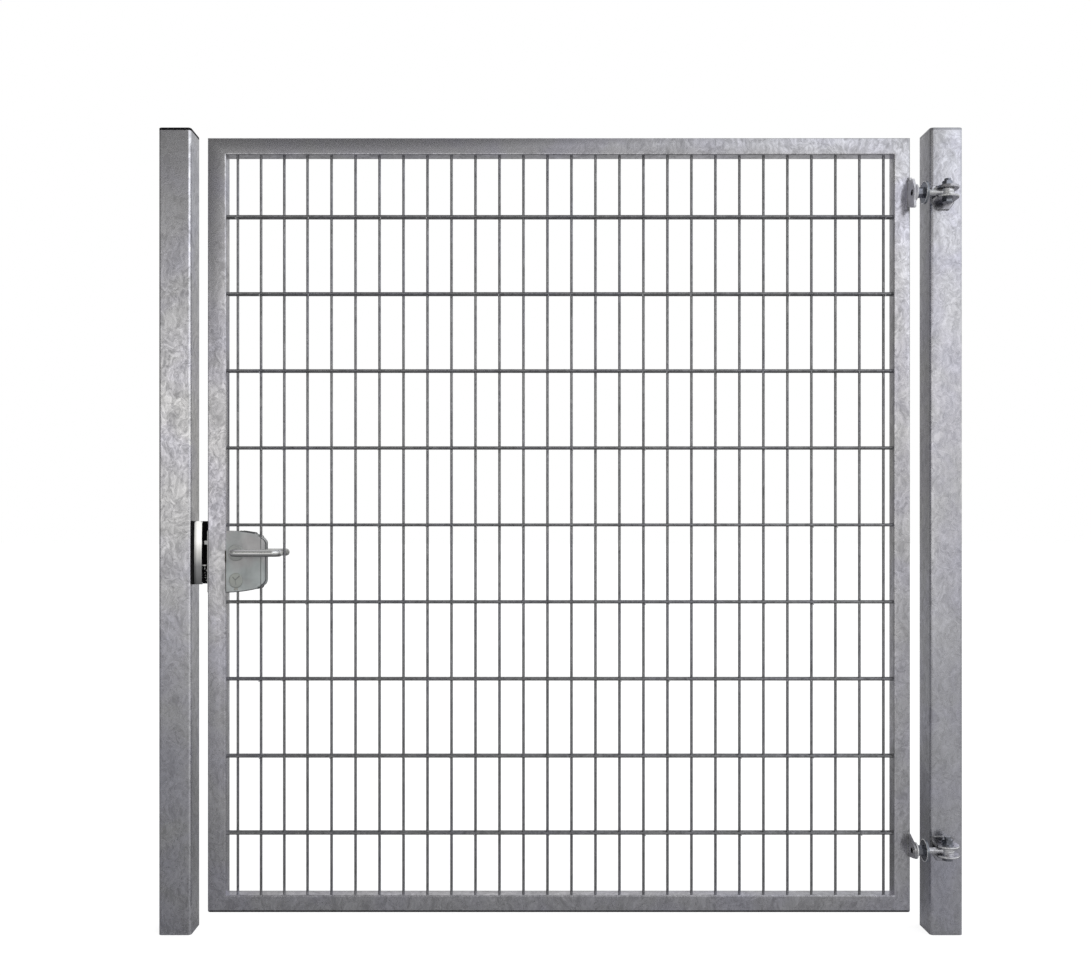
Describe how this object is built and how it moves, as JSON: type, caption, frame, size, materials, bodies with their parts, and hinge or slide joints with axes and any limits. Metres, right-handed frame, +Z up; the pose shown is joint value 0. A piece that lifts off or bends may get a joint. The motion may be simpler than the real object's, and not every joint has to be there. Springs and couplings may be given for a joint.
{
  "type": "mesh panel fence gate",
  "caption": "Single-leaf welded mesh gate between two square posts, with lever handles, a sprung latch, a strike and adjustable pin hinges.",
  "frame": {"origin": "centre of the hinge post's foot, at ground level", "axes": "+Z up; +X from the latch post towards the hinge post; +Y to the back, so the leaf opens towards -Y"},
  "size_m": [2.078, 0.1588, 2.091],
  "materials": {
    "zinc_post": "hot-dip galvanised, mottled zinc",
    "zinc_frame": "hot-dip galvanised, mottled zinc",
    "zinc_mesh": "hot-dip galvanised, dull",
    "zinc_hardware": "galvanised, slightly bright",
    "black_plastic": "matte moulded",
    "stainless": "bright",
    "lock_metal": "satin, matte grey",
    "cylinder_metal": "nickel-plated satin",
    "lever_metal": "satin"
  },
  "bodies": {
    "posts": {"hinge_post": "zinc_post", "hinge_post_cap": "black_plastic", "latch_post": "zinc_post", "latch_post_cap": "black_plastic", "upper_hinge_bracket": "zinc_hardware", "lower_hinge_bracket": "zinc_hardware", "upper_hinge_pin": "zinc_hardware", "lower_hinge_pin": "zinc_hardware", "upper_pin_nut": "zinc_hardware", "lower_pin_nut": "zinc_hardware", "strike_housing": "black_plastic", "strike_lip": "stainless"},
    "leaf": {"lock_stile": "zinc_frame", "hinge_stile": "zinc_frame", "top_rail": "zinc_frame", "bottom_rail": "zinc_frame", "mesh_lock_half": "zinc_mesh", "mesh_hinge_half": "zinc_mesh", "lock_case": "lock_metal", "lock_forend": "stainless", "dead_bolt": "stainless", "key_cylinder": "cylinder_metal", "front_escutcheon": "lock_metal", "rear_escutcheon": "lock_metal", "front_rose": "lock_metal", "rear_rose": "lock_metal", "upper_adjuster_plate": "zinc_hardware", "lower_adjuster_plate": "zinc_hardware", "upper_eye_bolt": "zinc_hardware", "lower_eye_bolt": "zinc_hardware", "upper_lock_nuts": "zinc_hardware", "lower_lock_nuts": "zinc_hardware", "upper_washer": "zinc_hardware", "lower_washer": "zinc_hardware"},
    "lever": {"front_lever": "lever_metal", "rear_lever": "lever_metal", "spindle": "stainless"},
    "latch": {"latch_bolt": "stainless"}
  },
  "joints": [
    {"name": "gate_swing", "type": "hinge", "parent": "posts", "child": "leaf", "pos_m": [-0.011, -0.077, 1.07], "axis": [0, 0, 1], "range_deg": [0, 180]},
    {"name": "lever_turn", "type": "hinge", "parent": "leaf", "child": "lever", "pos_m": [-1.836, -0.022, 0.988], "axis": [0, 1, 0], "range_deg": [0, 40], "stiffness_Nm_per_rad": 1, "springref_deg": -28.65},
    {"name": "latch_slide", "type": "slide", "parent": "leaf", "child": "latch", "axis": [1, 0, 0], "range_m": [0, 0.014]}
  ],
  "couplings": [
    {"joint": "latch_slide", "follows": "lever_turn", "m_per_rad": 0.02}
  ]
}
